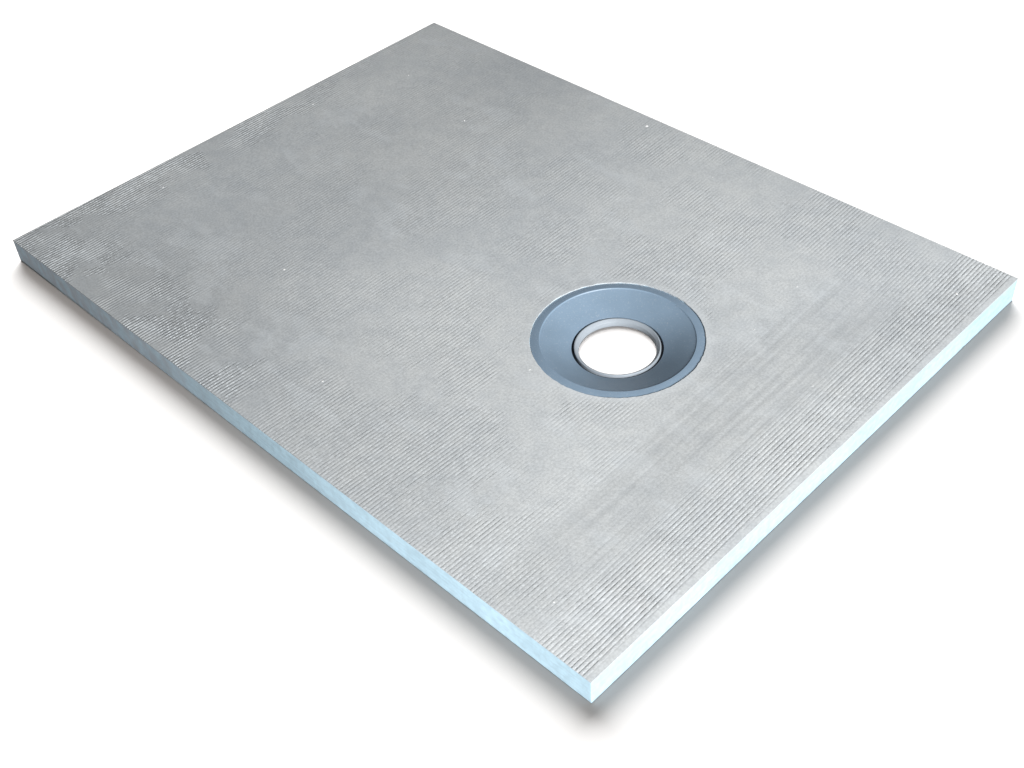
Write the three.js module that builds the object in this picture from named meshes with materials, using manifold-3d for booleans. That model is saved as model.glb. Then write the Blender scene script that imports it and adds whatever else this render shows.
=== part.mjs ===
// Foam shower tray with a moulded drain let into it.
// Millimetres, +Z up. X runs along the long side, with the drain towards +X, and Y along the short side.
// The origin is the middle of the underside, so the tray lies on the plane z = 0.
// The top falls from a level border to the drain: one flat fall from each side, and a cone in each corner.

import * as THREE from 'three';
import { ConvexGeometry } from 'three/addons/geometries/ConvexGeometry.js';
import { mergeVertices } from 'three/addons/utils/BufferGeometryUtils.js';
import Module from 'manifold-3d';

// Driving dimensions of the slab
const trayLength = 1200;
const trayWidth = 900;
const edgeHeight = 40;            // underside to the top of the coating, at the four edges
const edgeLand = 8;               // level border that the falls start from
const fallDepth = 14;             // drop of the top from the border to the drain
const coatingThickness = 1.2;     // cement and mesh skin, measured straight down
const bondLine = 0.3;             // between the coating and the foam
const drainFromShortEdge = 352;   // short edge at +X to the middle of the drain

// Driving dimensions of the drain, from its bore outwards
const boreRadius = 54.2;
const collarWall = 6.5;
const collarHeight = 10.6;        // underside of the tray to the top of the collar's lip
const collarFootHeight = 2.2;
const sealWidth = 2.9;
const sealHeight = 4.4;           // foot of the collar to the top of the seal
const spigotWall = 3;
const throatHeight = 8.6;         // underside of the tray to the lowest edge of the dish's slope
const dishRun = 44.6;             // throat to mouth, measured level
const dishWall = 3;               // measured straight down
const mouthStepRun = 1.1;         // the steep step just below the mouth
const mouthStepDrop = 1.5;
const flangeWidth = 12.4;
const flangeRise = 1.5;           // the flange's inner edge stands this much above its outer edge
const flangeThickness = 3;        // at the flange's outer edge
const flangeSink = 0.9;           // outer edge of the flange below the foot of the falls

// Fits
const fitGap = 0.3;               // between pieces that are let into each other
const cutMargin = 10;             // how far a cutting shape runs past what it cuts

// Roundings
const lipSteps = 6;               // flats on the rounded lip of the collar
const throatEdge = 0.6;           // bevel where the slope turns down into the throat
const roundSegments = 72;

// Heights and radii that follow
const drainX = trayLength / 2 - drainFromShortEdge;
const coatingUnderside = edgeHeight - coatingThickness;
const coreTop = coatingUnderside - bondLine;
const collarRadius = boreRadius + collarWall;
const throatRadius = collarRadius + fitGap + sealWidth + fitGap;
const spigotRadius = throatRadius + spigotWall;
const mouthRadius = throatRadius + dishRun;
const flangeRadius = mouthRadius + flangeWidth;
const flangeEdgeZ = edgeHeight - fallDepth - flangeSink;
const flangeSeatZ = flangeEdgeZ - flangeThickness;
const mouthZ = flangeEdgeZ + flangeRise;
const stepRadius = mouthRadius - mouthStepRun;
const stepZ = mouthZ - mouthStepDrop;
const dishSlope = (stepZ - throatHeight) / (stepRadius - throatRadius);

const wasm = await Module();
wasm.setup();

// A closed geometry as a solid that can be joined and cut
function solidOf(geometry) {
  const bare = geometry.clone();
  bare.deleteAttribute('normal');
  bare.deleteAttribute('uv');
  const merged = mergeVertices(bare);
  const index = merged.index.array;
  const corners = [];
  for (let i = 0; i < index.length; i += 3) {
    const [a, b, c] = [index[i], index[i + 1], index[i + 2]];
    if (a !== b && b !== c && c !== a) corners.push(a, b, c);
  }
  return new wasm.Manifold(new wasm.Mesh({
    numProp: 3,
    vertProperties: new Float32Array(merged.attributes.position.array),
    triVerts: new Uint32Array(corners),
  }));
}

function geometryOf(solid) {
  const { vertProperties, triVerts } = solid.getMesh();
  const geometry = new THREE.BufferGeometry();
  geometry.setAttribute('position', new THREE.BufferAttribute(vertProperties, 3));
  geometry.setIndex(new THREE.BufferAttribute(triVerts, 1));
  geometry.computeVertexNormals();
  return geometry;
}

// A section of [radius, height] points turned about the middle of the drain
function turned(section) {
  const points = section.map(([radius, height]) => new THREE.Vector2(radius, height));
  const geometry = new THREE.LatheGeometry(points, roundSegments);
  geometry.rotateX(Math.PI / 2);
  geometry.translate(drainX, 0, 0);
  return geometry;
}

// A rectangular block on the plane z = 0
function block(length, width, height) {
  const geometry = new THREE.BoxGeometry(length, width, height);
  geometry.translate(0, 0, height / 2);
  return solidOf(geometry);
}

// The space over the falls: from the inner edge of the border down to a ring at the dish's mouth
function spaceOverFalls(borderZ) {
  const points = [];
  for (const x of [-1, 1]) {
    for (const y of [-1, 1]) {
      const cornerX = x * (trayLength / 2 - edgeLand);
      const cornerY = y * (trayWidth / 2 - edgeLand);
      points.push(new THREE.Vector3(cornerX, cornerY, borderZ));
      points.push(new THREE.Vector3(cornerX, cornerY, borderZ + cutMargin));
    }
  }
  for (let i = 0; i < roundSegments; i += 1) {
    const angle = (2 * Math.PI * i) / roundSegments;
    const x = drainX + mouthRadius * Math.cos(angle);
    const y = mouthRadius * Math.sin(angle);
    points.push(new THREE.Vector3(x, y, borderZ - fallDepth));
  }
  return solidOf(new ConvexGeometry(points));
}

// Height of the dish's sloping upper face at a radius, and of its underside
const slopeTopZ = (radius) => throatHeight + (radius - throatRadius) * dishSlope;
const slopeUndersideZ = (radius) => slopeTopZ(radius) - dishWall;
const undersideMeetsSeat = throatRadius + (flangeSeatZ + dishWall - throatHeight) / dishSlope;

// What the foam and the coating give up to the drain: the dish's own outline with the fit around it.
// The flange lies flat on its seat.
function drainPocket() {
  const wallRadius = spigotRadius + fitGap;
  const seatRadius = flangeRadius + fitGap;
  return solidOf(turned([
    [0, -cutMargin],
    [wallRadius, -cutMargin],
    [wallRadius, slopeUndersideZ(wallRadius) - fitGap],
    [undersideMeetsSeat + fitGap, slopeUndersideZ(undersideMeetsSeat + fitGap) - fitGap],
    [undersideMeetsSeat + fitGap, flangeSeatZ],
    [seatRadius, flangeSeatZ],
    [seatRadius, edgeHeight + cutMargin],
    [0, edgeHeight + cutMargin],
  ]));
}

// Extruded foam slab with the falls milled into its top
function foamCore() {
  return geometryOf(
    block(trayLength, trayWidth, coreTop)
      .subtract(spaceOverFalls(coreTop))
      .subtract(drainPocket()),
  );
}

// Cement and mesh skin that covers the border and the falls, up to the flange
function topCoating() {
  const beneath = block(trayLength + cutMargin, trayWidth + cutMargin, coatingUnderside)
    .subtract(spaceOverFalls(coatingUnderside));
  return geometryOf(
    block(trayLength, trayWidth, edgeHeight)
      .subtract(spaceOverFalls(edgeHeight))
      .subtract(beneath)
      .subtract(drainPocket()),
  );
}

// One moulding: flange, sloping dish and the spigot that goes down through the foam
function drainDish() {
  return turned([
    [throatRadius, 0],
    [spigotRadius, 0],
    [spigotRadius, slopeUndersideZ(spigotRadius)],
    [undersideMeetsSeat, flangeSeatZ],
    [flangeRadius, flangeSeatZ],
    [flangeRadius, flangeEdgeZ],
    [mouthRadius, mouthZ],
    [stepRadius, stepZ],
    [throatRadius + throatEdge, slopeTopZ(throatRadius + throatEdge)],
    [throatRadius, slopeTopZ(throatRadius + throatEdge) - throatEdge],
    [throatRadius, 0],
  ]);
}

// Ring around the bore, with a rounded lip on top and a foot that reaches to the spigot
function drainCollar() {
  const lipRadius = collarWall / 2;
  const lip = [];
  for (let i = 0; i <= lipSteps; i += 1) {
    const angle = (Math.PI * i) / lipSteps;
    const radius = boreRadius + lipRadius + lipRadius * Math.cos(angle);
    lip.push([radius, collarHeight - lipRadius + lipRadius * Math.sin(angle)]);
  }
  return turned([
    [boreRadius, 0],
    [throatRadius - fitGap, 0],
    [throatRadius - fitGap, collarFootHeight],
    [collarRadius, collarFootHeight],
    ...lip,
    [boreRadius, 0],
  ]);
}

// Rubber ring that fills the groove between the collar and the spigot, resting on the collar's foot
function sealRing() {
  const inner = collarRadius + fitGap;
  const outer = throatRadius - fitGap;
  const top = collarFootHeight + sealHeight;
  return turned([
    [inner, collarFootHeight],
    [outer, collarFootHeight],
    [outer, top],
    [inner, top],
    [inner, collarFootHeight],
  ]);
}

function piece(name, geometry, color, roughness) {
  const material = new THREE.MeshStandardMaterial({ color, roughness, metalness: 0 });
  const mesh = new THREE.Mesh(geometry, material);
  mesh.name = name;
  return mesh;
}

const tray = new THREE.Group();
tray.add(
  piece('foam_core', foamCore(), 0xa9d3e6, 0.8),
  piece('top_coating', topCoating(), 0xa9aeb0, 0.9),
  piece('drain_dish', drainDish(), 0x7590ab, 0.45),
  piece('seal_ring', sealRing(), 0x14181d, 0.7),
  piece('drain_collar', drainCollar(), 0xc3ced8, 0.4),
);

export default tray;
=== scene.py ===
"""Looks of a foam shower tray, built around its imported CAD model.

Laid out as an add-on and run as a script. Lengths are in metres, in the model's own frame:
X along the long side with the drain towards +X, Y along the short side, Z up from the underside.
"""

from math import cos, pi, radians, sin, tan

import bmesh
import bpy
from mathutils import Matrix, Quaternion, Vector


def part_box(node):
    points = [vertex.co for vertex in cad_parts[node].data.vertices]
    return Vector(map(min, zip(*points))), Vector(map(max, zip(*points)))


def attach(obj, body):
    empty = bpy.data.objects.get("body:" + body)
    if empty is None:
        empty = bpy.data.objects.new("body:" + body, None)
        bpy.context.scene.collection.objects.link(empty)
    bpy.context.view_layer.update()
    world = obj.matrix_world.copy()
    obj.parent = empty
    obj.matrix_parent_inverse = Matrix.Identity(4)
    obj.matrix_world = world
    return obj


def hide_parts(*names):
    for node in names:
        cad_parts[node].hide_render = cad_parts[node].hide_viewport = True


bl_info = {
    "name": "Foam shower tray",
    "version": (1, 0, 0),
    "blender": (4, 5, 0),
    "location": "3D View > Sidebar > Tray",
    "description": "Ribbed coating, foam, moulded drain and a plain studio for a shower tray",
    "category": "Mesh",
}

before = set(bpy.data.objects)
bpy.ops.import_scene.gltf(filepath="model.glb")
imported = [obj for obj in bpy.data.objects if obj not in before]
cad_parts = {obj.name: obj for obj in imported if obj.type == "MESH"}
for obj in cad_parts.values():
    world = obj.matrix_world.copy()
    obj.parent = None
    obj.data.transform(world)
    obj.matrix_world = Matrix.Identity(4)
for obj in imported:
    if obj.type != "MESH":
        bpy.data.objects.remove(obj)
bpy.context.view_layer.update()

# Places and sizes that come from the model
TRAY_LOW, TRAY_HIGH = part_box("foam_core")
DISH_LOW, DISH_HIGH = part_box("drain_dish")
COLLAR_LOW, COLLAR_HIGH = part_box("drain_collar")
SEAL_LOW, SEAL_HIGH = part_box("seal_ring")
COATING_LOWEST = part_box("top_coating")[0].z
DRAIN = (DISH_LOW + DISH_HIGH) / 2
FLANGE_RADIUS = (DISH_HIGH.x - DISH_LOW.x) / 2
FOOT_RADIUS = (COLLAR_HIGH.x - COLLAR_LOW.x) / 2
SEAL_RADIUS = (SEAL_HIGH.x - SEAL_LOW.x) / 2
BODY = "root"
MM = 0.001

# Bands across the coating, in metres along X: where each starts, is full, starts to fade and ends
WIPED_X = (0.38, 0.43, 0.49, 0.54)
DRAGGED_X = (0.37, 0.42, 0.52, 0.56)
# The far band below darkens the coating with painted shade
FAR_PAINTED_SHADE_X = (-0.52, -0.34, -0.26, -0.02)
WIPED_DULL_X = (0.40, 0.45, 0.49, 0.53)

# How the lights stand
WINDOW = {"place": (3.3, -0.85, 1.8), "aim": (0.2, 0.0, 0.03), "size": 1.5}
LAMP = {"place": (0.47, -1.05, 0.06), "aim": (0.47, -0.45, 0.03), "size": 0.10}
FROM_BEHIND = {"place": (-1.15, 1.10, 1.25), "aim": (0.0, 0.0, 0.0), "size": 0.9}
OVERHEAD = {"place": (0.0, 0.0, 3.0), "aim": (0.0, 0.0, 0.0), "size": 0.1}
OVERHEAD_COLOUR = (1.0, 0.89, 0.81)
SURROUNDINGS_COLOUR = (1.0, 0.99, 0.98, 1.0)
FLOOR_REACH = 60.0

# Roughness of the drain's plastics, from and to
DISH_ROUGHNESS = (0.34, 0.50)
COLLAR_ROUGHNESS = (0.45, 0.60)

# Meshing
WELD = 0.001 * MM
BLOCK_DEPTH = 18 * MM
RIM_SEGMENTS = 300
FOAM_CELLS = (200, 150, 16)
TURNED_SEGMENTS = 192
FILLET_STEPS = 5
LONGEST_FILLET = 0.49
OVERSIZE = (1.0008, 1.0008, 1.0)

# Edges that bend more than this stay sharp
COATING_SHARP = radians(50)
FOAM_SHARP = radians(40)
DRAIN_SHARP = radians(35)


# Node trees written as expressions

class Wire:
    """An output of a node. Arithmetic on it adds Math nodes to its tree."""

    def __init__(self, plan, socket):
        self.plan = plan
        self.socket = socket

    def _math(self, operation, *values):
        sockets = dict(enumerate(values))
        return self.plan.add("ShaderNodeMath", {"operation": operation}, sockets)

    def __add__(self, other):
        return self._math("ADD", self, other)

    def __sub__(self, other):
        return self._math("SUBTRACT", self, other)

    def __rsub__(self, other):
        return self._math("SUBTRACT", other, self)

    def __mul__(self, other):
        return self._math("MULTIPLY", self, other)

    def __truediv__(self, other):
        return self._math("DIVIDE", self, other)

    def __rtruediv__(self, other):
        return self._math("DIVIDE", other, self)

    def __pow__(self, other):
        return self._math("POWER", self, other)

    __radd__ = __add__
    __rmul__ = __mul__

    def sine(self):
        return self._math("SINE", self)

    def fraction(self):
        return self._math("FRACT", self)

    def at_least(self, other):
        return self._math("MAXIMUM", self, other)

    def at_most(self, other):
        return self._math("MINIMUM", self, other)

    def size(self):
        return self._math("ABSOLUTE", self)

    def rise(self, start, end):
        """0 before start, 1 after end, and a smooth step between them."""
        sockets = {"Value": self, "From Min": start, "From Max": end}
        return self.plan.add("ShaderNodeMapRange", {"interpolation_type": "SMOOTHSTEP"}, sockets)

    def fall(self, start, end):
        """1 before start, 0 after end."""
        return 1 - self.rise(start, end)

    def between(self, band):
        """1 within a band of four places, 0 outside it."""
        start, full, fading, end = band
        return self.rise(start, full) * self.fall(fading, end)

    def spread(self, low, high):
        """The values 0 to 1 laid out from low to high."""
        return self * (high - low) + low


class Plan:
    """Adds nodes to a shader tree or a geometry tree."""

    def __init__(self, tree):
        self.tree = tree

    def add(self, kind, settings=None, sockets=None, output=0):
        node = self.tree.nodes.new(kind)
        for name, value in (settings or {}).items():
            setattr(node, name, value)
        for name, value in (sockets or {}).items():
            self.feed(node.inputs[name], value)
        return Wire(self, node.outputs[output])

    def feed(self, socket, value):
        wires = value if isinstance(value, list) else [value]
        for wire in wires:
            if isinstance(wire, Wire):
                self.tree.links.new(wire.socket, socket)
            else:
                socket.default_value = wire

    def other(self, wire, output):
        """Another output of the node that a wire comes from."""
        return Wire(self, wire.socket.node.outputs[output])

    def axes(self, vector):
        x = self.add("ShaderNodeSeparateXYZ", None, {0: vector}, "X")
        return x, self.other(x, "Y"), self.other(x, "Z")

    def vector(self, x=0.0, y=0.0, z=0.0):
        return self.add("ShaderNodeCombineXYZ", None, {0: x, 1: y, 2: z})

    def noise(self, vector, scale, detail=2.0, stretch=(1.0, 1.0, 1.0), shift=(0.0, 0.0, 0.0)):
        """Smooth noise from 0 to 1, about 1 / scale metres between its hills."""
        placed = self.add(
            "ShaderNodeVectorMath", {"operation": "MULTIPLY_ADD"}, {0: vector, 1: stretch, 2: shift})
        return self.add(
            "ShaderNodeTexNoise", None, {"Vector": placed, "Scale": scale, "Detail": detail})

    def blend(self, factor, first, second):
        """A colour between two, each a wire or three numbers."""
        colours = [c if isinstance(c, Wire) else (*c, 1.0) for c in (first, second)]
        sockets = {0: factor, 6: colours[0], 7: colours[1]}
        return self.add("ShaderNodeMix", {"data_type": "RGBA"}, sockets, 2)


class Finish(Plan):
    """A material in the making, with the Object coordinates that it reads."""

    def __init__(self, name, **constants):
        self.material = bpy.data.materials.new(name)
        self.material.use_nodes = True
        super().__init__(self.material.node_tree)
        self.shader = self.tree.nodes["Principled BSDF"]
        for socket, value in constants.items():
            self.shader.inputs[socket.replace("_", " ")].default_value = value
        self.place = self.add("ShaderNodeTexCoord", None, None, "Object")

    def paint(self, colour, roughness, height):
        """Feeds the shader's colour and roughness, and a bump whose height is in metres."""
        self.feed(self.shader.inputs["Base Color"], colour)
        self.feed(self.shader.inputs["Roughness"], roughness)
        bump = self.add("ShaderNodeBump", None, {"Strength": 1.0, "Distance": 1.0, "Height": height})
        self.feed(self.shader.inputs["Normal"], bump)
        return self.material


class Shape(Plan):
    """A Geometry Nodes tree with named inputs, run once to make a plain mesh."""

    def __init__(self, name):
        super().__init__(bpy.data.node_groups.new(name, "GeometryNodeTree"))
        self.tree.interface.new_socket("Geometry", in_out="OUTPUT", socket_type="NodeSocketGeometry")
        self.entry = self.tree.nodes.new("NodeGroupInput")
        self.values = {}

    def ask(self, name, kind, value):
        """A named input of the tree, with the value that it is used with."""
        socket = self.tree.interface.new_socket(name, in_out="INPUT", socket_type="NodeSocket" + kind)
        self.values[socket.identifier] = value
        return Wire(self, self.entry.outputs[name])

    def place(self):
        return self.add("GeometryNodeInputPosition")

    def moved(self, mesh, place):
        return self.add("GeometryNodeSetPosition", None, {"Geometry": mesh, "Position": place})

    def solid_of(self, node_input):
        """A model node's loose triangles as one closed mesh."""
        loose = self.add("GeometryNodeObjectInfo", None, {"Object": node_input}, "Geometry")
        return self.welded(loose, WELD)

    def over(self, value, limit):
        """Whether a value is greater than a limit."""
        settings = {"data_type": "FLOAT", "operation": "GREATER_THAN"}
        return self.add("FunctionNodeCompare", settings, {0: value, 1: limit})

    def welded(self, mesh, distance):
        sockets = {"Geometry": mesh, "Distance": distance}
        return self.add("GeometryNodeMergeByDistance", None, sockets)

    def smooth(self, mesh, angle):
        """Smooth faces, with edges sharper than an angle kept sharp."""
        mesh = self.add(
            "GeometryNodeSetShadeSmooth", {"domain": "FACE"}, {"Geometry": mesh, "Shade Smooth": True})
        bend = self.add("GeometryNodeInputMeshEdgeAngle")
        sharp = self.over(bend, angle)
        return self.add("GeometryNodeSetShadeSmooth", {"domain": "EDGE"}, {
            "Geometry": mesh, "Selection": sharp, "Shade Smooth": False})

    def finished(self, mesh, material):
        mesh = self.add("GeometryNodeRealizeInstances", None, {"Geometry": mesh})
        return self.add("GeometryNodeSetMaterial", None, {"Geometry": mesh, "Material": material})

    def make(self, name, geometry):
        """Runs the tree and returns its result as a plain mesh object at the origin."""
        leave = self.tree.nodes.new("NodeGroupOutput")
        self.tree.links.new(geometry.socket, leave.inputs[0])
        carrier = added_object(name + "_carrier", bpy.data.meshes.new(name + "_carrier"))
        modifier = carrier.modifiers.new(name, "NODES")
        modifier.node_group = self.tree
        for identifier, value in self.values.items():
            modifier[identifier] = value
        bpy.context.view_layer.update()
        graph = bpy.context.evaluated_depsgraph_get()
        mesh = bpy.data.meshes.new_from_object(carrier.evaluated_get(graph))
        mesh.name = name
        bpy.data.objects.remove(carrier)
        bpy.data.node_groups.remove(self.tree)
        return added_object(name, mesh)


def added_object(name, mesh):
    piece = bpy.data.objects.new(name, mesh)
    bpy.context.scene.collection.objects.link(piece)
    return piece


def stand_in(piece, node):
    """Puts a finished piece on the body and hides the model node that it stands in for."""
    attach(piece, BODY)
    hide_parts(node)


# Settings that a user would change

def length(name, description, millimetres):
    return bpy.props.FloatProperty(
        name=name, description=description, default=millimetres * MM, unit="LENGTH", precision=5)


def colour(name, description, value):
    return bpy.props.FloatVectorProperty(
        name=name, description=description, default=value, subtype="COLOR")


class CoatingSettings(bpy.types.PropertyGroup):
    rib_pitch: length("Rib pitch", "From one groove of the coating to the next", 5.35)
    groove_depth: length("Groove depth", "Depth of a groove where the ribs have strength 1", 0.20)
    rib_crown: length("Rib crown", "Height of a rib's round top where the ribs have strength 1", 0.10)
    rib_skew: bpy.props.FloatProperty(
        name="Rib skew", description="Angle between the ribs and the short side",
        default=radians(1.25), subtype="ANGLE")
    columns_per_rib: bpy.props.IntProperty(
        name="Columns per rib", description="Columns of points across one rib", default=4, min=3)
    rows: bpy.props.IntProperty(
        name="Rows", description="Rows of points along the ribs", default=96, min=8)
    ragged_edge: length("Ragged edge", "How far the coating's edge at the drain wanders", 1.5)
    crumbs: bpy.props.FloatProperty(
        name="Crumbs", description="Crumbs of dry mortar on each square metre", default=17.0)
    crumb_size: length("Crumb size", "Radius of a middling crumb", 2.1)
    seed: bpy.props.IntProperty(name="Seed", description="Places of the crumbs", default=3)
    cement: colour("Cement", "Middle tone of the coating", (0.500, 0.532, 0.555))


class FoamSettings(bpy.types.PropertyGroup):
    edge_rounding: length("Edge rounding", "Radius of the worn outer edges", 0.7)
    saw_waviness: length("Waviness", "Depth of the saw's waves on the outer faces", 0.25)
    nick_depth: length("Nicks", "Depth of the nicks along the lower edges", 1.6)
    foam: colour("Foam", "Middle tone of the foam", (0.475, 0.655, 0.765))


class DrainSettings(bpy.types.PropertyGroup):
    flange_width: length("Flange width", "Outer edge of the flange to the mouth of the dish", 12.4)
    flange_rise: length("Flange rise", "The mouth stands this much above the flange's outer edge", 1.5)
    flange_thickness: length("Flange thickness", "At the outer edge", 3)
    step_run: length("Step run", "Level width of the step below the mouth", 1.1)
    step_drop: length("Step drop", "Height of the step below the mouth", 1.5)
    throat_height: length("Throat height", "Underside of the tray to the foot of the slope", 8.6)
    wall: length("Wall", "Thickness of the moulding", 3)
    fit_gap: length("Fit", "Gap between pieces that are let into each other", 0.3)
    bore_radius: length("Bore radius", "Hole through the collar", 54.2)
    collar_wall: length("Collar wall", "Thickness of the collar", 6.5)
    dish_plastic: colour("Dish", "Blue-grey of the dish moulding", (0.200, 0.279, 0.366))
    collar_plastic: colour("Collar", "Pale grey of the collar", (0.32, 0.36, 0.40))
    rubber: colour("Seal", "Black of the seal", (0.006, 0.008, 0.012))


class StudioSettings(bpy.types.PropertyGroup):
    camera_place: bpy.props.FloatVectorProperty(
        name="Camera", description="Where the camera stands", subtype="XYZ",
        default=(1.1312, -1.0292, 1.2066))
    camera_aim: bpy.props.FloatVectorProperty(
        name="Aim", description="Point at the middle of the picture", subtype="XYZ",
        default=(0.19855, -0.15907, 0.02))
    camera_roll: bpy.props.FloatProperty(
        name="Roll", description="Turn of the camera about its own axis",
        default=radians(-4.04), subtype="ANGLE")
    lens: bpy.props.FloatProperty(
        name="Lens", description="Focal length on a sensor 36 mm wide", default=45.53, unit="CAMERA")
    window_power: bpy.props.FloatProperty(
        name="Window", description="Wide soft light beyond the drain end", default=266.0, unit="POWER")
    lamp_power: bpy.props.FloatProperty(
        name="Lamp", description="Small low light along the near long side", default=3.4, unit="POWER")
    floor_light: bpy.props.FloatProperty(
        name="Floor light", description="Light from behind that falls on the floor alone", default=11.0)
    floor_fill: bpy.props.FloatProperty(
        name="Floor fill", description="Light straight down on the floor alone", default=1.25)
    surroundings: bpy.props.FloatProperty(
        name="Surroundings", description="Strength of the pale surroundings", default=0.14)


# The coating's own pattern, used both for its shape and for its colour

def rib_phase(plan, place, settings):
    """Place across the ribs, counted in ribs: whole numbers lie in the grooves."""
    x, y, _ = plan.axes(place)
    return (x + y * tan(settings.rib_skew)) / settings.rib_pitch


def from_groove(phase):
    """0 in the middle of a groove and 0.5 in the middle of a rib."""
    return ((phase + 0.5).fraction() - 0.5).size()


def from_drain(plan, place):
    """Level distance from the middle of the drain."""
    x, y, _ = plan.axes(place)
    return ((x - DRAIN.x) ** 2.0 + y ** 2.0) ** 0.5


def rib_strength(plan, place):
    """How strongly the ribs show: 0 where the mortar is smeared smooth, 1 on plain ribbed parts and
    about 2 on the patches along the near side and at the far end."""
    x, y, _ = plan.axes(place)
    patches = plan.noise(place, 7.0, 5.0, shift=(0.0, 0.3, 0.0)).rise(0.45, 0.55)
    edge_patches = plan.noise(place, 13.0, 4.0, shift=(5.0, 0.0, 0.0)).rise(0.46, 0.53)
    field = x.rise(-0.35, 0.25).spread(0.35, 0.60) * patches.spread(0.12, 1.0)
    front = y.fall(-0.40, -0.30) * x.fall(-0.25, 0.10).spread(0.35, 2.2) * edge_patches
    far_end = x.fall(-0.57, -0.49) * y.fall(-0.10, 0.25).spread(0.7, 2.0) * edge_patches
    wiped = x.between(WIPED_X) * y.rise(-0.42, -0.30) * y.fall(0.24, 0.38)
    strength = field.at_least(front).at_least(far_end) * (1 - wiped * 0.9)
    drain_end = x.rise(0.495, 0.545)
    strength = strength * (1 - drain_end) + drain_end * patches.spread(0.75, 1.05)
    border = x.fall(0.586, 0.596)
    clear_of_drain = from_drain(plan, place).rise(FLANGE_RADIUS + 2 * MM, FLANGE_RADIUS + 20 * MM)
    return strength * border * clear_of_drain.spread(0.15, 1.0)


def drag_marks(plan, place, settings):
    """Long soft streaks that a trowel left along the ribs near the drain end."""
    x, y, _ = plan.axes(place)
    across = plan.vector((x + y * tan(settings.rib_skew) * 1.6) * 75.0, y * 2.5)
    streaks = plan.noise(across, 1.0, 4.0).rise(0.40, 0.64)
    start, full, fading, end = DRAGGED_X
    streaks = streaks * x.rise(start, full) * x.fall(fading, end)
    return streaks * y.rise(-0.42, -0.28) * y.fall(0.20, 0.36)


def smeared_rim(plan, place):
    """1 on the band of mortar that is smoothed against the flange, 0 further out."""
    return from_drain(plan, place).fall(FLANGE_RADIUS + 2 * MM, FLANGE_RADIUS + 14 * MM)


# Finishes

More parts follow.
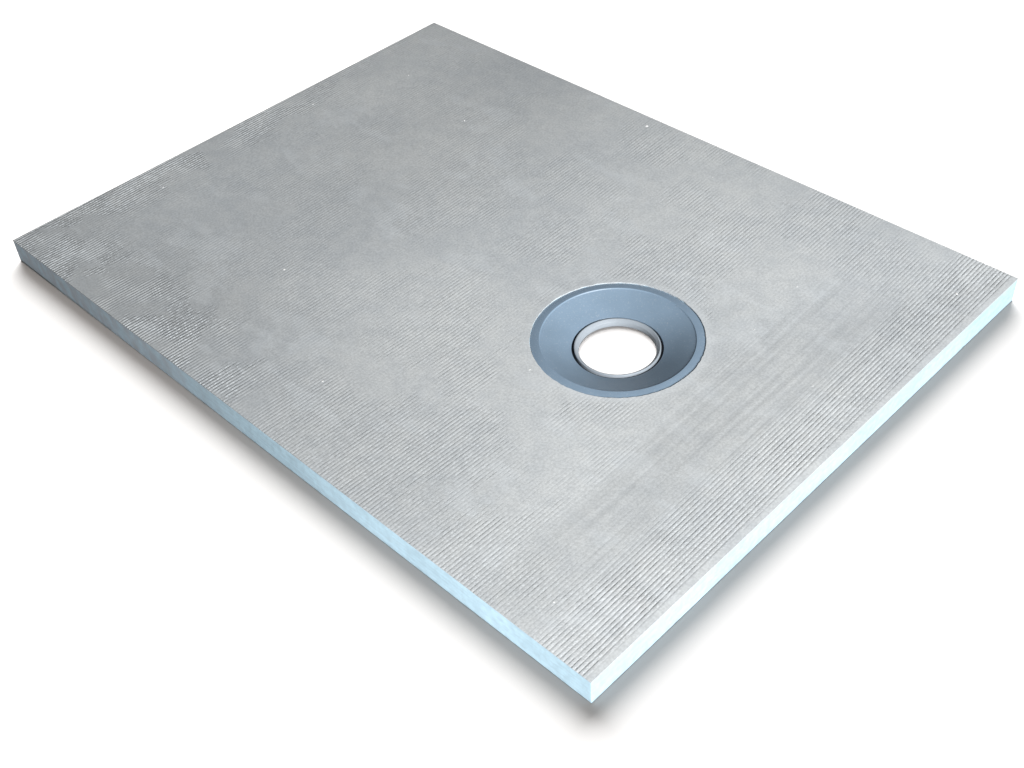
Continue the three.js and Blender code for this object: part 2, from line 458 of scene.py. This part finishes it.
def coating_finish(settings):
    """Grey cement over glass-fibre mesh: sandy, mottled, with thin broken lines of painted shade in the
    grooves between its threads, painted highlights on its ridges and painted shade over its far half
    and near side.
    """
    finish = Finish("coating_cement", Specular_IOR_Level=0.3)
    place = finish.place
    x, y, _ = finish.axes(place)
    phase = rib_phase(finish, place, settings)
    strength = rib_strength(finish, place)
    broken = finish.noise(place, 1.0, 4.0, stretch=(230.0, 80.0, 1.0)).rise(0.38, 0.54)
    each_rib = finish.noise(place, 1.0, 2.0, stretch=(180.0, 7.0, 1.0), shift=(0.0, 4.0, 0.0))
    each_rib = each_rib.rise(0.36, 0.60)
    rib_number = phase + 0.5 - (phase + 0.5).fraction()
    across = y / settings.rib_pitch + rib_number * 0.5
    beaded = from_groove(across).rise(0.0, 0.4)
    # The grooves and the gaps between threads are dents in the bump; their darker colour below is
    # painted shade
    groove = from_groove(phase).fall(0.03, 0.17) * strength * broken.spread(0.10, 1.0)
    groove = groove * each_rib.spread(0.35, 1.0) * beaded.spread(0.6, 1.15)
    threads_show = finish.noise(place, 18.0, 3.0, shift=(3.0, 1.0, 0.0)).rise(0.42, 0.58)
    gap = from_groove(across).fall(0.04, 0.22) * strength * threads_show
    # Beads along the ridges: a small bump, and a painted highlight on the ridge tops in the colour
    bead_relief_and_highlight = finish.noise(place, 1.0, 3.0, stretch=(200.0, 130.0, 1.0), shift=(2.0, 2.0, 0.0))
    bead_relief_and_highlight = bead_relief_and_highlight.rise(0.46, 0.62) * from_groove(phase).rise(0.16, 0.36)
    bead_relief_and_highlight = bead_relief_and_highlight * strength * beaded.spread(0.4, 1.2)
    clouds = finish.noise(place, 3.2, 4.0)
    mottle = finish.noise(place, 42.0, 5.0)
    sand = finish.noise(place, 330.0, 4.0)
    marks = drag_marks(finish, place, settings)
    rim = smeared_rim(finish, place)
    scuffs = finish.noise(place, 13.0, 5.0, stretch=(1.0, 1.8, 1.0), shift=(0.0, 7.0, 0.0))
    scuffs = scuffs.rise(0.56, 0.66)

    # Painted shade: the coating is darkened across the far half, in the far end's near corner and along
    # the near side, following how the light falls off. The wiped band is darker too.
    painted_shade_and_wiped_band = x.between(FAR_PAINTED_SHADE_X) * 0.12 + x.fall(-0.56, -0.46) * y.fall(-0.10, 0.10) * 0.06
    painted_shade_and_wiped_band = painted_shade_and_wiped_band + y.fall(-0.44, -0.16) * x.fall(0.25, 0.48).spread(0.06, 0.17)
    painted_shade_and_wiped_band = painted_shade_and_wiped_band + x.between(WIPED_DULL_X) * y.fall(-0.1, 0.15) * 0.12

    middle = settings.cement
    warm = [middle[0] * 1.03, middle[1] * 1.005, middle[2] * 0.97]
    tone = clouds.rise(0.3, 0.7) * 0.6 + mottle.rise(0.3, 0.7) * 0.4
    shade = finish.blend(tone, [c * 0.91 for c in middle], [c * 1.09 for c in warm])
    # Painted shade, with the darker wiped band, drawn towards a dark cement
    shade = finish.blend(painted_shade_and_wiped_band, shade, [c * 0.3 for c in middle])
    grain = finish.blend(sand.rise(0.28, 0.72), (0.90, 0.90, 0.90), (1.10, 1.10, 1.10))
    shade = finish.add("ShaderNodeVectorMath", {"operation": "MULTIPLY"}, {0: shade, 1: grain})
    # Painted highlight on the ridge tops
    shade = finish.blend((bead_relief_and_highlight * 0.38).at_most(0.5), shade, [c * 1.6 for c in middle])
    # Painted shade in the gaps between threads and in the grooves
    shade = finish.blend((gap * 0.28).at_most(0.5), shade, [c * 0.5 for c in middle])
    shade = finish.blend((groove * 0.95).at_most(0.85), shade, [c * 0.30 for c in middle])
    shade = finish.blend(marks * 0.20, shade, [c * 0.62 for c in middle])
    shade = finish.blend(scuffs * 0.20, shade, [c * 1.25 for c in middle])
    shade = finish.blend(rim * mottle.spread(0.0, 0.40), shade, [c * 1.25 for c in middle])
    roughness = mottle.spread(0.72, 0.95)
    height = (groove * -0.24 + bead_relief_and_highlight * 0.12 - gap * 0.10 + mottle * 0.22 + sand * 0.11) * MM
    return finish.paint(shade, roughness, height)


def crumb_finish():
    """Dry mortar, paler than the coating that it lies on."""
    finish = Finish("dry_mortar", Specular_IOR_Level=0.3)
    grain = finish.noise(finish.place, 1500.0)
    shade = finish.blend(grain, (0.72, 0.73, 0.73), (0.95, 0.95, 0.94))
    return finish.paint(shade, grain.spread(0.8, 0.95), grain * 0.05 * MM)


def foam_finish(settings):
    """Sawn foam: fine closed cells, saw lines round the sides and skin lines underneath. Its far half
    is greyed with painted shade and has more dirt spots, and a patchy near-black band of painted shade
    runs along the lower edge of the sides."""
    finish = Finish("sawn_foam", Specular_IOR_Level=0.35)
    place = finish.place
    x, y, z = finish.axes(place)
    under = z.fall(0.4 * MM, 1.2 * MM)
    cells = finish.add("ShaderNodeTexVoronoi", None, {"Vector": place, "Scale": 700.0})
    saw = finish.noise(place, 1.0, 3.0, stretch=(9.0, 9.0, 300.0)) * (1 - under)
    skin = finish.noise(place, 1.0, 3.0, stretch=(1.5, 260.0, 1.0)) * under
    lines = saw + skin
    clouds = finish.noise(place, 14.0, 4.0)
    blotches = finish.noise(place, 110.0, 4.0)
    shade_patches = finish.noise(place, 1.0, 4.0, stretch=(60.0, 60.0, 24.0)).rise(0.30, 0.70)
    far_end = x.fall(-0.30, 0.05) * (1 - under * 0.7)
    middle = settings.foam
    # The first grey below is painted shade for the far half; the near-black is painted shade along the
    # lower edge
    grey = (0.38, 0.38, 0.41)
    dirt_grey = (0.34, 0.38, 0.38)
    base_shade_black = (0.10, 0.10, 0.105)
    tone = lines.rise(0.3, 0.7) * 0.3 + clouds.rise(0.3, 0.7) * 0.3 + blotches.rise(0.3, 0.7) * 0.4
    shade = finish.blend(tone, [c * 0.80 for c in middle], [min(c * 1.20, 0.95) for c in middle])
    shade = finish.blend(cells * 0.30, shade, [c * 0.7 for c in middle])
    # Painted shade: the far half greyed in patches
    shade = finish.blend(far_end * shade_patches.spread(0.30, 0.75), shade, grey)
    dirt = finish.noise(place, 38.0, 5.0, stretch=(1.0, 1.0, 1.8)).rise(0.54, 0.72)
    # Dirt spots everywhere, denser in the far half, where they add to the painted shade
    shade = finish.blend(dirt * far_end.spread(0.10, 0.35), shade, dirt_grey)
    patchy = finish.noise(place, 12.0, 4.0, shift=(2.0, 0.0, 0.0)).rise(0.44, 0.58)
    near_corner = x.fall(-0.52, -0.44) * y.fall(-0.44, -0.30)
    # Painted shade: a patchy near-black band along the lowest few millimetres of the sides, where they
    # meet the floor, strongest at the far end's near corner
    base_painted_shade = (patchy * x.fall(-0.42, 0.0).spread(0.12, 0.4)).at_least(near_corner * 0.9)
    base_painted_shade = base_painted_shade * z.fall(2.0 * MM, 5.5 * MM) * (1 - under * 0.8)
    shade = finish.blend(base_painted_shade, shade, base_shade_black)
    height = lines * (0.14 * MM) + cells * (0.12 * MM) + blotches * (0.20 * MM)
    return finish.paint(shade, clouds.spread(0.62, 0.82), height)


def moulded_finish(name, plastic, smoothest, roughest):
    """Satin moulded plastic with a fine grain, dust and faint turning marks."""
    finish = Finish(name, Specular_IOR_Level=0.5)
    place = finish.place
    grain = finish.noise(place, 2200.0)
    clouds = finish.noise(place, 22.0, 4.0)
    dust = finish.noise(place, 420.0, 4.0).rise(0.56, 0.74) * clouds.spread(0.1, 0.4)
    radius = from_drain(finish, place)
    turning = finish.noise(finish.vector(radius), 700.0)
    tone = clouds.rise(0.25, 0.75) * 0.6 + turning * 0.4
    shade = finish.blend(tone, [c * 0.90 for c in plastic], [c * 1.10 for c in plastic])
    shade = finish.blend(dust, shade, (0.50, 0.53, 0.54))
    roughness = (clouds.spread(smoothest, roughest) + dust * 0.4).at_most(0.95)
    return finish.paint(shade, roughness, grain * 0.022 * MM + turning * 0.012 * MM)


def rubber_finish(settings):
    """Matte black rubber, dusty in places."""
    finish = Finish("black_rubber", Specular_IOR_Level=0.4)
    grain = finish.noise(finish.place, 1800.0)
    dust = finish.noise(finish.place, 160.0, 4.0).rise(0.55, 0.75) * 0.12
    shade = finish.blend(grain, settings.rubber, [c * 1.8 for c in settings.rubber])
    shade = finish.blend(dust, shade, (0.22, 0.23, 0.23))
    return finish.paint(shade, grain.spread(0.6, 0.75), grain * 0.03 * MM)


def floor_finish():
    """Plain pale studio floor."""
    finish = Finish("studio_floor", Specular_IOR_Level=0.2)
    clouds = finish.noise(finish.place, 1.5, 3.0)
    shade = finish.blend(clouds, (0.455, 0.455, 0.455), (0.475, 0.475, 0.475))
    return finish.paint(shade, clouds.spread(0.85, 0.95), clouds * 0.05 * MM)


# Shapes

def ribbed_coating(settings, cement, mortar):
    """Ribbed skin laid over the model's coating and cut out round the drain, with its crumbs."""
    gathering = 0.13            # share of a rib that a column moves at most
    drop_from = 1.0             # height that points are dropped from on the model's falls
    past_flange = 0.8 * MM      # where the falls are read for a point over the drain
    plug_fit = 0.4 * MM         # between the flange and the coating's edge
    plug_height = 0.2
    swell_height = 0.8 * MM
    rim_height = 0.35 * MM
    mark_depth = 0.26 * MM
    shape = Shape("ribbed coating")
    depth = shape.ask("Groove depth", "Float", settings.groove_depth)
    crown = shape.ask("Rib crown", "Float", settings.rib_crown)
    ragged = shape.ask("Ragged edge", "Float", settings.ragged_edge)
    density = shape.ask("Crumbs", "Float", settings.crumbs)
    crumb = shape.ask("Crumb size", "Float", settings.crumb_size)
    seed = shape.ask("Seed", "Int", settings.seed)
    model_coating = shape.ask("Model coating", "Object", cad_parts["top_coating"])
    model_foam = shape.ask("Model foam", "Object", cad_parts["foam_core"])
    slope = tan(settings.rib_skew)

    # Columns of points run along the ribs, closer together in the grooves. Those past the tray's
    # ends gather on its edge.
    half_length = TRAY_HIGH.x
    width = TRAY_HIGH.y - TRAY_LOW.y
    column_gap = settings.rib_pitch / settings.columns_per_rib
    columns = 2 * (int((half_length + width / 2 * slope) / column_gap) + 1)
    sheet = shape.add("GeometryNodeMeshGrid", None, {
        "Size X": columns * column_gap, "Size Y": width,
        "Vertices X": columns + 1, "Vertices Y": settings.rows + 1})
    x, y, _ = shape.axes(shape.place())
    gathered = x - (x * (2 * pi / settings.rib_pitch)).sine() * (gathering * settings.rib_pitch)
    along_rib = (gathered - y * slope).at_least(-half_length).at_most(half_length)
    sheet = shape.moved(sheet, shape.vector(along_rib, y))
    sheet = shape.welded(sheet, 0.01 * MM)

    # The falls, found by dropping each point on the model. Over the drain they carry on level.
    place = shape.place()
    x, y, _ = shape.axes(place)
    inset = 1 - 1e-5
    outward = ((FLANGE_RADIUS + past_flange) / from_drain(shape, place).at_least(MM)).at_least(1.0)
    above_x = ((x - DRAIN.x) * outward + DRAIN.x) * inset
    above = shape.vector(above_x, y * outward * inset, drop_from)
    target = shape.add("GeometryNodeObjectInfo", None, {"Object": model_coating}, "Geometry")
    lands = shape.add("GeometryNodeRaycast", None, {
        "Target Geometry": target, "Source Position": above,
        "Ray Direction": (0.0, 0.0, -1.0), "Ray Length": 2 * drop_from}, "Is Hit")
    _, _, landing = shape.axes(shape.other(lands, "Hit Position"))
    falls = shape.add("GeometryNodeSwitch", {"input_type": "FLOAT"}, {
        "Switch": lands, "False": COATING_LOWEST, "True": landing})

    # Relief: grooves cut into the surface between rounded ribs
    phase = rib_phase(shape, place, settings)
    each_rib = shape.noise(place, 1.0, stretch=(190.0, 22.0, 1.0)).spread(0.5, 1.5)
    grooves = from_groove(phase).fall(0.0, 0.13) * depth * each_rib
    crowns = (phase.fraction() * pi).sine() * crown
    ribs = (crowns - grooves) * rib_strength(shape, place)
    marks = drag_marks(shape, place, settings) * -mark_depth
    swell = (shape.noise(place, 6.0, 3.0) - 0.5) * swell_height
    lip = smeared_rim(shape, place) * rim_height
    sheet = shape.moved(sheet, shape.vector(x, y, falls + ribs + marks + swell + lip))

    # Thickness: the sheet pulled down into a block, less the foam and the drain
    walls = shape.add("GeometryNodeExtrudeMesh", {"mode": "FACES"}, {
        "Mesh": sheet, "Offset": shape.vector(z=-1.0), "Offset Scale": BLOCK_DEPTH,
        "Individual": False})
    walls = shape.add("GeometryNodeFlipFaces", None, {"Mesh": walls})
    block = shape.add("GeometryNodeJoinGeometry", None, {"Geometry": [sheet, walls]})
    block = shape.welded(block, WELD)
    foam = shape.add("GeometryNodeTransform", None, {
        "Geometry": shape.solid_of(model_foam), "Scale": OVERSIZE})
    plug = shape.add("GeometryNodeMeshCylinder", None, {
        "Vertices": RIM_SEGMENTS, "Radius": FLANGE_RADIUS + plug_fit, "Depth": plug_height})
    x, y, z = shape.axes(shape.place())
    wander = (shape.noise(shape.place(), 120.0, 4.0, stretch=(1.0, 1.0, 0.0)) - 0.5) * ragged
    wander = wander * (2 / FLANGE_RADIUS) + 1
    plug = shape.moved(plug, shape.vector(x * wander + DRAIN.x, y * wander, z))
    skin = shape.add("GeometryNodeMeshBoolean", {"operation": "DIFFERENCE", "solver": "MANIFOLD"}, {
        "Mesh 1": block, "Mesh 2": [foam, plug]})
    skin = shape.finished(shape.smooth(skin, COATING_SHARP), cement)

    # Crumbs of dry mortar, a few of them large
    _, _, facing_up = shape.axes(shape.add("GeometryNodeInputNormal"))
    is_top = shape.over(facing_up, 0.7)
    points = shape.add("GeometryNodeDistributePointsOnFaces", None, {
        "Mesh": skin, "Selection": is_top, "Density": density, "Seed": seed})
    ball = shape.add("GeometryNodeMeshIcoSphere", None, {"Radius": crumb, "Subdivisions": 1})
    chance = shape.add("FunctionNodeRandomValue", {"data_type": "FLOAT"}, {"Seed": seed}, 1)
    size = (chance ** 1.5).spread(0.4, 1.5)
    turn = shape.add("FunctionNodeRandomValue", {"data_type": "FLOAT_VECTOR"}, {
        1: (0.3, 0.3, 2 * pi), "Seed": seed})
    crumbs = shape.add("GeometryNodeInstanceOnPoints", None, {
        "Points": points, "Instance": ball, "Rotation": turn,
        "Scale": shape.vector(size, size, size * 0.22)})
    crumbs = shape.finished(crumbs, mortar)
    whole = shape.add("GeometryNodeJoinGeometry", None, {"Geometry": [skin, crumbs]})
    return shape.make("ribbed_coating", whole)


def sawn_foam(settings, foam_material):
    """The model's foam with worn edges, saw waves on its outer faces and a few nicks."""
    shape = Shape("sawn foam")
    rounding = shape.ask("Edge rounding", "Float", settings.edge_rounding)
    waviness = shape.ask("Waviness", "Float", settings.saw_waviness)
    nick = shape.ask("Nicks", "Float", settings.nick_depth)
    model_foam = shape.ask("Model foam", "Object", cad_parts["foam_core"])
    half = (TRAY_HIGH.x, TRAY_HIGH.y)
    tall = 60 * MM
    crowd = 1.6

    # A block of even cells, gathered towards its edges
    block = shape.add("GeometryNodeMeshCube", None, {
        "Size": (2.0, 2.0, 1.0), "Vertices X": FOAM_CELLS[0] + 1, "Vertices Y": FOAM_CELLS[1] + 1,
        "Vertices Z": FOAM_CELLS[2] + 1})
    x, y, z = shape.axes(shape.place())

    def gathered(value, reach):
        sign = shape.add("ShaderNodeMath", {"operation": "SIGN"}, {0: value})
        return (1 - (1 - value.size()).at_least(0.0) ** crowd) * sign * reach

    height = (z + 0.5) ** crowd * tall
    block = shape.moved(block, shape.vector(gathered(x, half[0]), gathered(y, half[1]), height))

    # Rounded edges, then waves and nicks, both inwards
    x, y, z = shape.axes(shape.place())
    inner_x = x.at_least(rounding - half[0]).at_most(half[0] - rounding)
    inner_y = y.at_least(rounding - half[1]).at_most(half[1] - rounding)
    inner_z = z.at_least(rounding)
    inner = shape.vector(inner_x, inner_y, inner_z)
    outward = shape.add("ShaderNodeVectorMath", {"operation": "SUBTRACT"}, {0: shape.place(), 1: inner})
    outward = shape.add("ShaderNodeVectorMath", {"operation": "NORMALIZE"}, {0: outward})
    waves = shape.noise(shape.place(), 1.0, 2.0, stretch=(30.0, 30.0, 90.0)) * waviness
    near_side = (half[0] - x.size()).at_most(half[1] - y.size()).fall(0.0, 4 * MM)
    chips = shape.noise(shape.place(), 42.0, 2.0).rise(0.66, 0.78) * near_side
    chips = chips * z.fall(0.0, 3 * MM) * nick
    reach = rounding - waves - chips
    worn = shape.add("ShaderNodeVectorMath", {"operation": "SCALE"}, {0: outward, "Scale": reach})
    worn = shape.add("ShaderNodeVectorMath", {"operation": "ADD"}, {0: inner, 1: worn})
    block = shape.moved(block, worn)

    # Only what lies in the model's foam is kept, which gives the falls and the drain's pocket
    foam = shape.add("GeometryNodeTransform", None, {
        "Geometry": shape.solid_of(model_foam), "Scale": OVERSIZE})
    slab = shape.add("GeometryNodeMeshBoolean", {"operation": "INTERSECT", "solver": "MANIFOLD"}, {
        "Mesh 2": [block, foam]})
    return shape.make("foam_slab", shape.finished(shape.smooth(slab, FOAM_SHARP), foam_material))


def filleted(corners):
    """Outline of (radius, height, fillet) corners, with each corner rounded by an arc. An arc takes
    up less than half of the sides next to it."""
    outline = []
    for i, (radius, height, fillet) in enumerate(corners):
        here = Vector((radius, height))
        if fillet <= 0:
            outline.append(here)
            continue
        before = Vector(corners[i - 1][:2]) - here
        after = Vector(corners[(i + 1) % len(corners)][:2]) - here
        half = before.angle(after) / 2
        shorter = min(before.length, after.length)
        reach = min(fillet / tan(half), LONGEST_FILLET * shorter)
        first = before.normalized() * reach
        last = after.normalized() * reach
        middle = (first + last).normalized() * (reach / cos(half))
        start = first - middle
        end = last - middle
        swing = start.angle(end)
        for k in range(FILLET_STEPS + 1):
            share = k / FILLET_STEPS
            arc = (start * sin((1 - share) * swing) + end * sin(share * swing)) / sin(swing)
            outline.append(here + middle + arc)
    return outline


def turned(name, corners, material):
    """A closed outline turned about the middle of the drain, smooth but for its sharp edges."""
    outline = filleted(corners)
    shape = bmesh.new()
    rings = []
    for i in range(TURNED_SEGMENTS):
        angle = 2 * pi * i / TURNED_SEGMENTS
        ring = [shape.verts.new((DRAIN.x + p.x * cos(angle), p.x * sin(angle), p.y)) for p in outline]
        rings.append(ring)
    for ring, following in zip(rings, rings[1:] + rings[:1]):
        for i in range(len(outline)):
            k = (i + 1) % len(outline)
            shape.faces.new((ring[i], following[i], following[k], ring[k]))
    bmesh.ops.recalc_face_normals(shape, faces=shape.faces)
    for edge in shape.edges:
        edge.smooth = edge.calc_face_angle(0) < DRAIN_SHARP
    for face in shape.faces:
        face.smooth = True
    mesh = bpy.data.meshes.new(name)
    shape.to_mesh(mesh)
    shape.free()
    mesh.materials.append(material)
    return added_object(name, mesh)


def dish_corners(s):
    """Section of the dish moulding."""
    throat = FOOT_RADIUS + s.fit_gap
    mouth = FLANGE_RADIUS - s.flange_width
    edge_z = DISH_HIGH.z - s.flange_rise
    seat_z = edge_z - s.flange_thickness
    step = mouth - s.step_run
    step_z = DISH_HIGH.z - s.step_drop
    slope = (step_z - s.throat_height) / (step - throat)
    spigot = throat + s.wall
    return [
        (throat, 0.0, 0.3 * MM),
        (spigot, 0.0, 0.3 * MM),
        (spigot, s.throat_height + s.wall * slope - s.wall, 0.0),
        (throat + (seat_z + s.wall - s.throat_height) / slope, seat_z, 0.0),
        (FLANGE_RADIUS, seat_z, 0.0),
        (FLANGE_RADIUS, edge_z, 0.8 * MM),
        (mouth, DISH_HIGH.z, 0.8 * MM),
        (step, step_z, 0.7 * MM),
        (throat, s.throat_height, 0.8 * MM),
    ]


def collar_corners(s):
    """Section of the collar: a rounded lip that slopes down to the bore, on a wall with a flat foot."""
    outer = s.bore_radius + s.collar_wall
    top = COLLAR_HIGH.z
    lip = outer - 1.8 * MM
    slope_end = s.bore_radius + 0.8 * MM
    return [
        (s.bore_radius, 0.0, 0.6 * MM),
        (FOOT_RADIUS, 0.0, 0.3 * MM),
        (FOOT_RADIUS, SEAL_LOW.z, 0.3 * MM),
        (outer, SEAL_LOW.z, 0.0),
        (outer, top - 0.2 * MM, 0.7 * MM),
        (lip, top, 0.7 * MM),
        (slope_end, top - 3.2 * MM, 1.5 * MM),
        (s.bore_radius, top - 7.5 * MM, 2.0 * MM),
    ]


def seal_corners(s):
    """Section of the seal, rounded on top."""
    inner = s.bore_radius + s.collar_wall + s.fit_gap
    crown = 0.45 * (SEAL_RADIUS - inner)
    return [
        (inner, SEAL_LOW.z, 0.2 * MM),
        (SEAL_RADIUS, SEAL_LOW.z, 0.2 * MM),
        (SEAL_RADIUS, SEAL_HIGH.z, crown),
        (inner, SEAL_HIGH.z, crown),
    ]


# Operators

class MakeCoating(bpy.types.Operator):
    """Lay the ribbed cement coating over the falls"""
    bl_idname = "tray.make_coating"
    bl_label = "Coating"

    def execute(self, context):
        settings = context.scene.tray_coating
        piece = ribbed_coating(settings, coating_finish(settings), crumb_finish())
        stand_in(piece, "top_coating")
        return {"FINISHED"}


class MakeFoam(bpy.types.Operator):
    """Saw the foam slab, with its worn edges"""
    bl_idname = "tray.make_foam"
    bl_label = "Foam"

    def execute(self, context):
        settings = context.scene.tray_foam
        stand_in(sawn_foam(settings, foam_finish(settings)), "foam_core")
        return {"FINISHED"}


class MakeDrain(bpy.types.Operator):
    """Turn the dish, the collar and the seal of the drain"""
    bl_idname = "tray.make_drain"
    bl_label = "Drain"

    def execute(self, context):
        s = context.scene.tray_drain
        dish_plastic = moulded_finish("dish_plastic", s.dish_plastic, *DISH_ROUGHNESS)
        collar_plastic = moulded_finish("collar_plastic", s.collar_plastic, *COLLAR_ROUGHNESS)
        stand_in(turned("dish_moulding", dish_corners(s), dish_plastic), "drain_dish")
        stand_in(turned("collar_ring", collar_corners(s), collar_plastic), "drain_collar")
        stand_in(turned("rubber_seal", seal_corners(s), rubber_finish(s)), "seal_ring")
        return {"FINISHED"}


class MakeStudio(bpy.types.Operator):
    """Set up the floor, the lights, the surroundings and the camera"""
    bl_idname = "tray.make_studio"
    bl_label = "Studio"

    def execute(self, context):
        s = context.scene.tray_studio
        floor = add_floor()
        window = add_light("window", "AREA", s.window_power, **WINDOW)
        lamp = add_light("lamp", "AREA", s.lamp_power, **LAMP)
        for light in (window, lamp):
            light_only(light, floor, "EXCLUDE")
        from_behind = add_light("floor_light", "SUN", s.floor_light, **FROM_BEHIND)
        overhead = add_light("overhead", "SUN", s.floor_fill, **OVERHEAD)
        overhead.data.color = OVERHEAD_COLOUR
        for light in (from_behind, overhead):
            light_only(light, floor, "INCLUDE")
        add_surroundings(context.scene, s.surroundings)
        add_camera(context.scene, s)
        return {"FINISHED"}


def add_floor():
    """A level floor. The matte surfaces of the tray get none of its light."""
    half = FLOOR_REACH
    mesh = bpy.data.meshes.new("floor")
    corners = [(-half, -half, 0.0), (half, -half, 0.0), (half, half, 0.0), (-half, half, 0.0)]
    mesh.from_pydata(corners, [], [(0, 1, 2, 3)])
    mesh.materials.append(floor_finish())
    floor = added_object("floor", mesh)
    floor.visible_diffuse = False
    return floor


def add_light(name, kind, power, place, aim, size):
    """A soft light. Its size is the side of a square area in metres, or a sun's angle in radians."""
    lamp = bpy.data.lights.new(name, kind)
    lamp.energy = power
    if kind == "SUN":
        lamp.angle = size
    else:
        lamp.shape = "SQUARE"
        lamp.size = size
    light = bpy.data.objects.new(name, lamp)
    light.location = place
    light.rotation_euler = (Vector(aim) - Vector(place)).to_track_quat("-Z", "Y").to_euler()
    light.visible_camera = False
    bpy.context.scene.collection.objects.link(light)
    return light


def light_only(light, floor, state):
    """Has a light fall on the floor alone (INCLUDE) or on everything else (EXCLUDE)."""
    group = bpy.data.collections.new(light.name + "_receivers")
    group.objects.link(floor)
    light.light_linking.receiver_collection = group
    group.collection_objects[0].light_linking.link_state = state


def add_surroundings(scene, strength):
    world = bpy.data.worlds.new("surroundings")
    world.use_nodes = True
    background = world.node_tree.nodes["Background"]
    background.inputs["Color"].default_value = SURROUNDINGS_COLOUR
    background.inputs["Strength"].default_value = strength
    scene.world = world
    scene.view_settings.view_transform = "Standard"


def add_camera(scene, s):
    lens = bpy.data.cameras.new("camera")
    lens.sensor_width = 36.0
    lens.lens = s.lens
    camera = bpy.data.objects.new("camera", lens)
    camera.location = s.camera_place
    facing = (Vector(s.camera_aim) - Vector(s.camera_place)).to_track_quat("-Z", "Y")
    roll = Quaternion((0.0, 0.0, 1.0), s.camera_roll)
    camera.rotation_euler = (facing @ roll).to_euler()
    scene.collection.objects.link(camera)
    scene.camera = camera


class TrayPanel(bpy.types.Panel):
    """Settings and pieces of the shower tray"""
    bl_idname = "VIEW3D_PT_tray"
    bl_label = "Shower tray"
    bl_space_type = "VIEW_3D"
    bl_region_type = "UI"
    bl_category = "Tray"

    def draw(self, context):
        for group, operators in STEPS:
            box = self.layout.box()
            settings = getattr(context.scene, group)
            for name in settings.bl_rna.properties.keys():
                if name not in ("rna_type", "name"):
                    box.prop(settings, name)
            for operator in operators:
                box.operator(operator.bl_idname)


STEPS = (
    ("tray_coating", (MakeCoating,)),
    ("tray_foam", (MakeFoam,)),
    ("tray_drain", (MakeDrain,)),
    ("tray_studio", (MakeStudio,)),
)
GROUPS = {
    "tray_coating": CoatingSettings,
    "tray_foam": FoamSettings,
    "tray_drain": DrainSettings,
    "tray_studio": StudioSettings,
}
CLASSES = (*GROUPS.values(), MakeCoating, MakeFoam, MakeDrain, MakeStudio, TrayPanel)


def register():
    for part in CLASSES:
        bpy.utils.register_class(part)
    for name, group in GROUPS.items():
        setattr(bpy.types.Scene, name, bpy.props.PointerProperty(type=group))


def unregister():
    for name in GROUPS:
        delattr(bpy.types.Scene, name)
    for part in reversed(CLASSES):
        bpy.utils.unregister_class(part)


def main():
    register()
    bpy.ops.tray.make_studio()
    bpy.ops.tray.make_coating()
    bpy.ops.tray.make_foam()
    bpy.ops.tray.make_drain()


if __name__ == "__main__":
    main()
